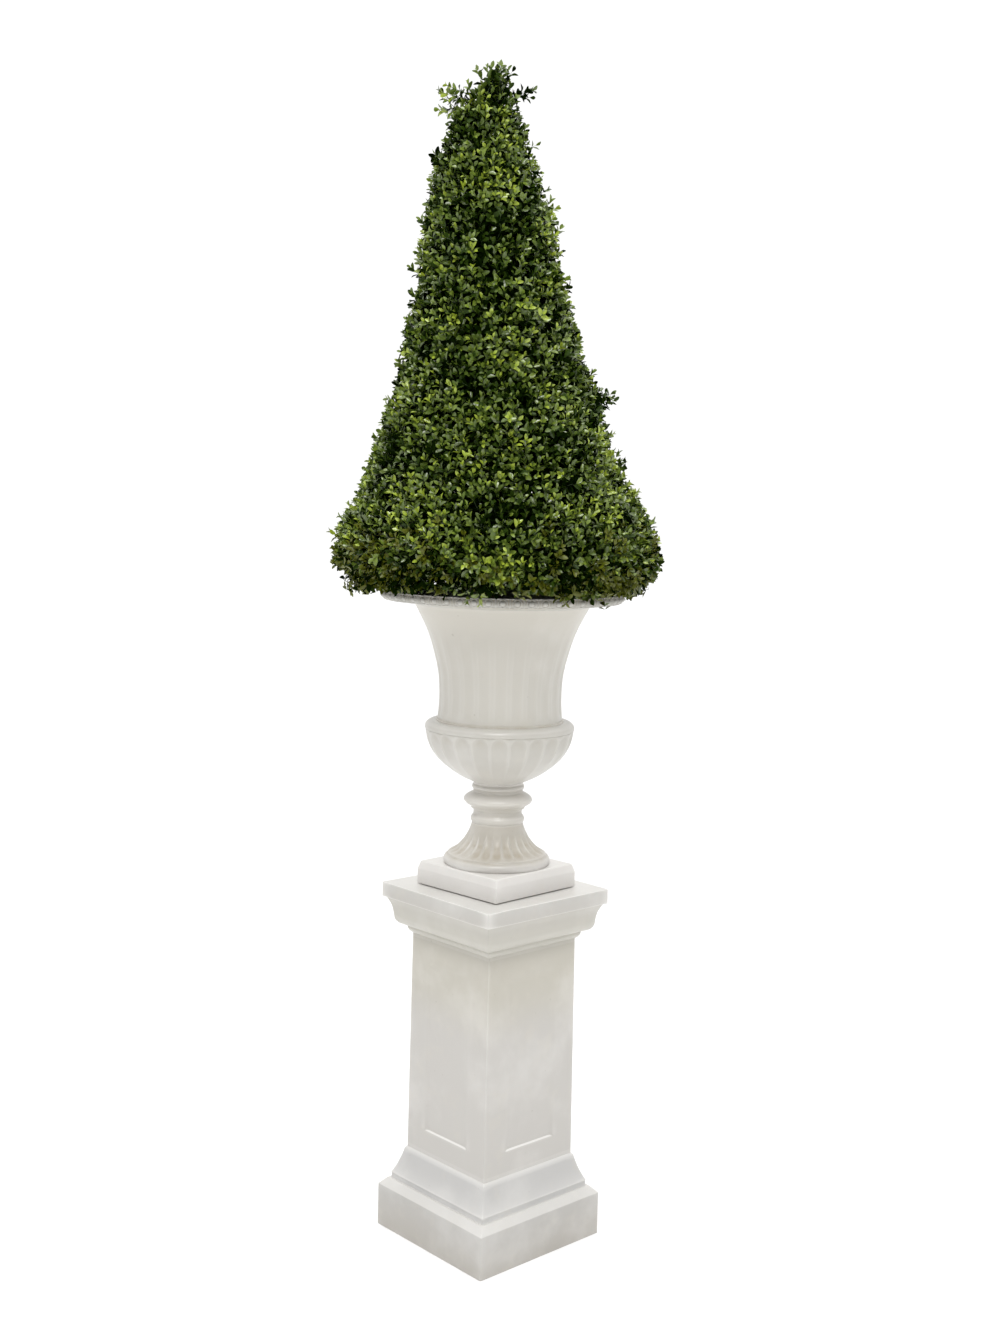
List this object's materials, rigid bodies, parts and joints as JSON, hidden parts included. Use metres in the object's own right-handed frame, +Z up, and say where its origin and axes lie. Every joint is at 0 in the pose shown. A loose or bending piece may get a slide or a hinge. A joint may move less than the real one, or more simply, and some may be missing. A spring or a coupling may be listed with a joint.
{
  "type": "artificial boxwood cone topiary in a pedestal urn",
  "caption": "Clipped cone of box foliage on a slightly leaning stem, planted in a fluted campana urn that stands on a square panelled pedestal.",
  "frame": {"origin": "middle of the pedestal's flat underside", "axes": "+Z up, +X and -Y out of the pedestal's two faces that meet at the near corner; the cone leans towards -X and -Y"},
  "size_m": [0.7394, 0.7362, 2.601],
  "materials": {
    "pedestal_resin": "off-white satin paint on cast resin, faint clouding and small dark specks",
    "urn_resin": "off-white satin paint on cast resin, warm staining in the channels and grooves",
    "urn_packing": "dark foam packing, matt",
    "stem": "rough brown bark",
    "leader_stem": "dark blue-green moulded stem",
    "foliage": "small oval leaves, dark green inside and yellow-green at the tips, satin"
  },
  "bodies": {
    "root": {"pedestal_plinth": "pedestal_resin", "pedestal_base_moulding": "pedestal_resin", "pedestal_shaft": "pedestal_resin", "pedestal_cap_moulding": "pedestal_resin", "pedestal_cap": "pedestal_resin", "urn_base_block": "urn_resin", "urn_foot": "urn_resin", "urn_knop": "urn_resin", "urn_bowl": "urn_resin", "urn_body": "urn_resin", "urn_rim": "urn_resin", "urn_fill": "urn_packing", "trunk": "stem", "leader_stem_left": "leader_stem", "leader_stem_middle": "leader_stem", "leader_stem_right": "leader_stem", "leader_stem_back": "leader_stem", "foliage_skirt": "foliage", "foliage_lower": "foliage", "foliage_middle": "foliage", "foliage_upper": "foliage", "foliage_tip": "foliage", "foliage_tuft_left": "foliage", "foliage_tuft_middle": "foliage", "foliage_tuft_right": "foliage", "foliage_tuft_back": "foliage", "foliage_side_sprig": "foliage"}
  },
  "joints": []
}
